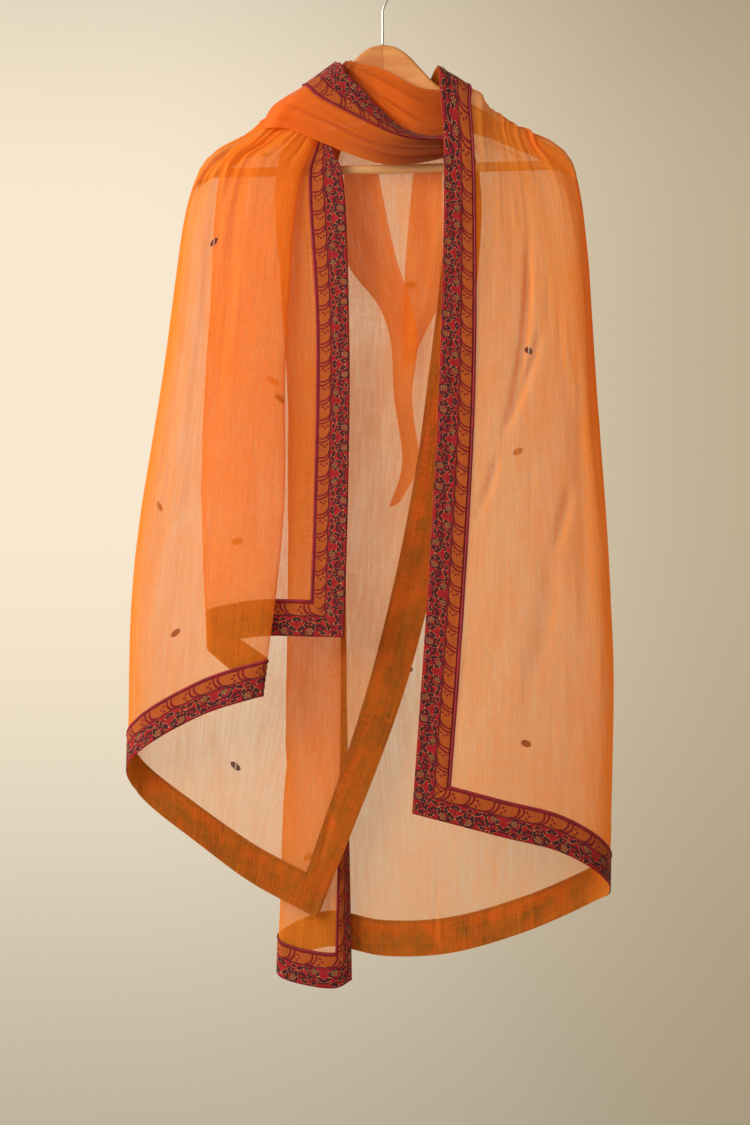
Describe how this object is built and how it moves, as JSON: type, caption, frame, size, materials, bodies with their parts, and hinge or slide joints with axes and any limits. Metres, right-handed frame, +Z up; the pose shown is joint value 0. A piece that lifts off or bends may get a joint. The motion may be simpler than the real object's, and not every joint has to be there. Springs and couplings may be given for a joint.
{
  "type": "dupatta stole on hanger",
  "caption": "Sheer orange crepe dupatta stole with a printed red and ochre border, wound once round the neck of a wooden hanger and hanging at both sides.",
  "frame": {"origin": "inside top of the hanger's hook, where a rail or wall hook holds it", "axes": "+Z up, -Y towards the front of the stole, +X towards the viewer's right"},
  "size_m": [0.5757, 0.1129, 1.2181],
  "materials": {
    "sheer_crepe": "sheer crinkled crepe chiffon, matt, lets light through",
    "printed_border": "block printed cotton, crimson and ochre, brown on its reverse",
    "maroon_piping": "narrow woven piping, maroon",
    "honey_wood": "honey coloured hardwood, satin varnish",
    "pale_wood": "pale turned wood, satin",
    "steel_wire": "polished steel wire"
  },
  "bodies": {
    "root": {"hanger_left": "honey_wood", "hanger_right": "honey_wood", "trouser_bar": "pale_wood", "hook": "steel_wire", "left_end": "sheer_crepe", "left_front_border": "printed_border", "left_hem_border": "printed_border", "left_back_border": "printed_border", "left_front_piping": "maroon_piping", "left_hem_piping": "maroon_piping", "left_back_piping": "maroon_piping", "right_end": "sheer_crepe", "right_front_border": "printed_border", "right_hem_border": "printed_border", "right_back_border": "printed_border", "right_front_piping": "maroon_piping", "right_hem_piping": "maroon_piping", "right_back_piping": "maroon_piping", "front_wrap": "sheer_crepe", "front_wrap_border": "printed_border", "front_wrap_piping": "maroon_piping", "under_wrap": "sheer_crepe", "back_wrap": "sheer_crepe", "cross_fold": "sheer_crepe", "hanging_fold": "sheer_crepe"}
  },
  "joints": []
}
